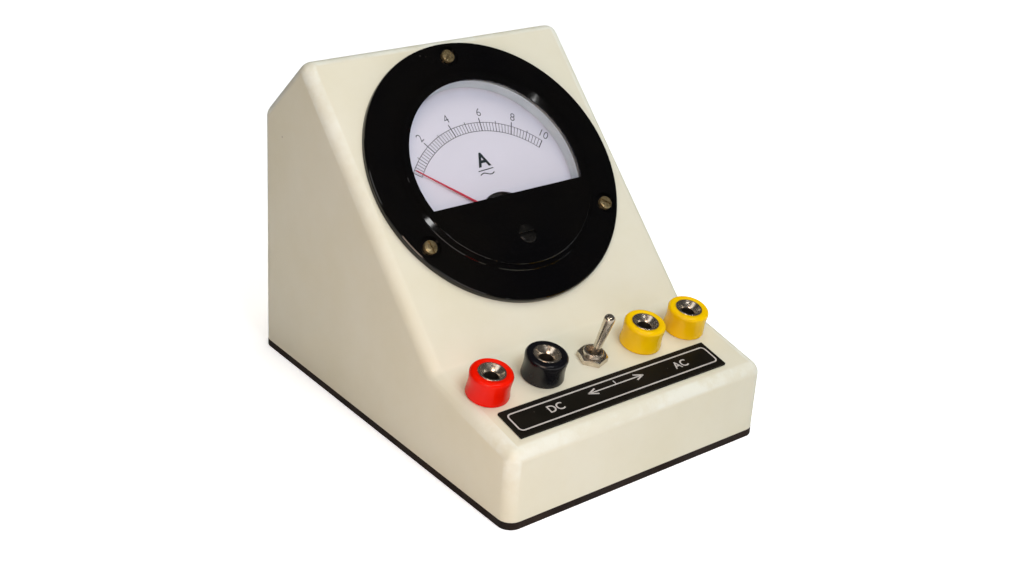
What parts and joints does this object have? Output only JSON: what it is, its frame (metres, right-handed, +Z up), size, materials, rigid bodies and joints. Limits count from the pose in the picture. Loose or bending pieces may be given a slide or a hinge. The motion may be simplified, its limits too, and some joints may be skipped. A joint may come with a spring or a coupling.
{
  "type": "bench ammeter with analog panel meter",
  "caption": "Sloping-front bench meter: a round moving-coil panel meter in a moulded case with insulated 4 mm sockets and a DC/AC toggle switch.",
  "frame": {"origin": "centre of the footprint, on the surface that the case stands on", "axes": "+Z up, -Y towards the user, +X to the user's right; the case's depth lies along Y"},
  "size_m": [0.0926, 0.125, 0.0975],
  "materials": {
    "case": "ivory moulded plastic, satin gloss",
    "base": "dark brown-black sheet",
    "steel": "plated",
    "strip": "black engraved strip, pale line and letters",
    "red_plastic": "moulded",
    "black_plastic": "moulded",
    "yellow_plastic": "moulded",
    "blue_plastic": "lead insulation",
    "nickel": "nickel plated brass",
    "meter_black": "high gloss moulding",
    "lens": "clear",
    "surround": "pale grey ring",
    "dial": "white paint with printed scale",
    "screw_brass": "worn plating",
    "adjuster": "slotted",
    "aluminium": "plain",
    "magnet": "ground",
    "brass": "turned",
    "copper": "enamelled",
    "pointer_red": "red paint",
    "board": "phenolic sheet"
  },
  "bodies": {
    "case": {"case_shell": "case", "base_plate": "base", "base_screws": "steel", "label_plate": "strip", "red_socket_head": "red_plastic", "black_socket_head": "black_plastic", "left_yellow_socket_head": "yellow_plastic", "right_yellow_socket_head": "yellow_plastic", "red_socket_sleeve": "nickel", "black_socket_sleeve": "nickel", "left_yellow_socket_sleeve": "nickel", "right_yellow_socket_sleeve": "nickel", "socket_insulators": "board", "socket_nuts": "nickel", "dc_shunt": "copper", "switch_bushing": "nickel", "switch_body": "black_plastic", "switch_terminals": "nickel", "switch_nut": "nickel", "switch_lock_washer": "nickel", "meter_housing": "meter_black", "meter_bezel": "meter_black", "meter_lens": "lens", "dial_surround": "surround", "dial_plate": "dial", "dial_screws": "brass", "pointer_stops": "nickel", "meter_screws": "screw_brass", "meter_washers": "steel", "meter_nuts": "steel", "yoke_ring": "steel", "magnet_core": "magnet", "core_spacers": "brass", "movement_frame": "aluminium", "frame_screws": "steel", "front_bridge": "brass", "jewel_screws": "brass", "front_hairspring": "brass", "rear_hairspring": "brass", "terminal_studs": "brass", "stud_nuts": "brass", "tag_board": "board", "transformer_core": "magnet", "transformer_winding": "yellow_plastic", "bridge_rectifier": "black_plastic", "board_resistors": "board", "red_lead": "red_plastic", "black_lead": "black_plastic", "yellow_leads": "yellow_plastic", "switch_leads": "blue_plastic"},
    "lever": {"switch_lever": "nickel"},
    "movement": {"coil_former": "aluminium", "coil_winding": "copper", "pointer": "pointer_red", "balance_weights": "brass"},
    "adjuster": {"zero_adjuster": "adjuster"},
    "arm": {"zero_arm": "aluminium"}
  },
  "joints": [
    {"name": "lever_throw", "type": "hinge", "parent": "case", "child": "lever", "pos_m": [-0.0005, -0.03936, 0.02637], "axis": [0, -0.9784, -0.2069], "range_deg": [0, 26]},
    {"name": "pointer_swing", "type": "hinge", "parent": "case", "child": "movement", "pos_m": [-0.0002, 0.00035, 0.05443], "axis": [0, 0.7092, -0.705], "range_deg": [-2, 99], "stiffness_Nm_per_rad": 0.00001},
    {"name": "zero_turn", "type": "hinge", "parent": "case", "child": "adjuster", "pos_m": [-0.0002, -0.00714, 0.05271], "axis": [0, -0.7092, 0.705], "range_deg": [-30, 30]},
    {"name": "zero_arm_swing", "type": "hinge", "parent": "case", "child": "arm", "pos_m": [-0.0002, -0.00177, 0.05654], "axis": [0, -0.7092, 0.705], "range_deg": [-7, 7]}
  ],
  "couplings": [
    {"joint": "zero_arm_swing", "follows": "zero_turn", "ratio": -0.2175}
  ]
}
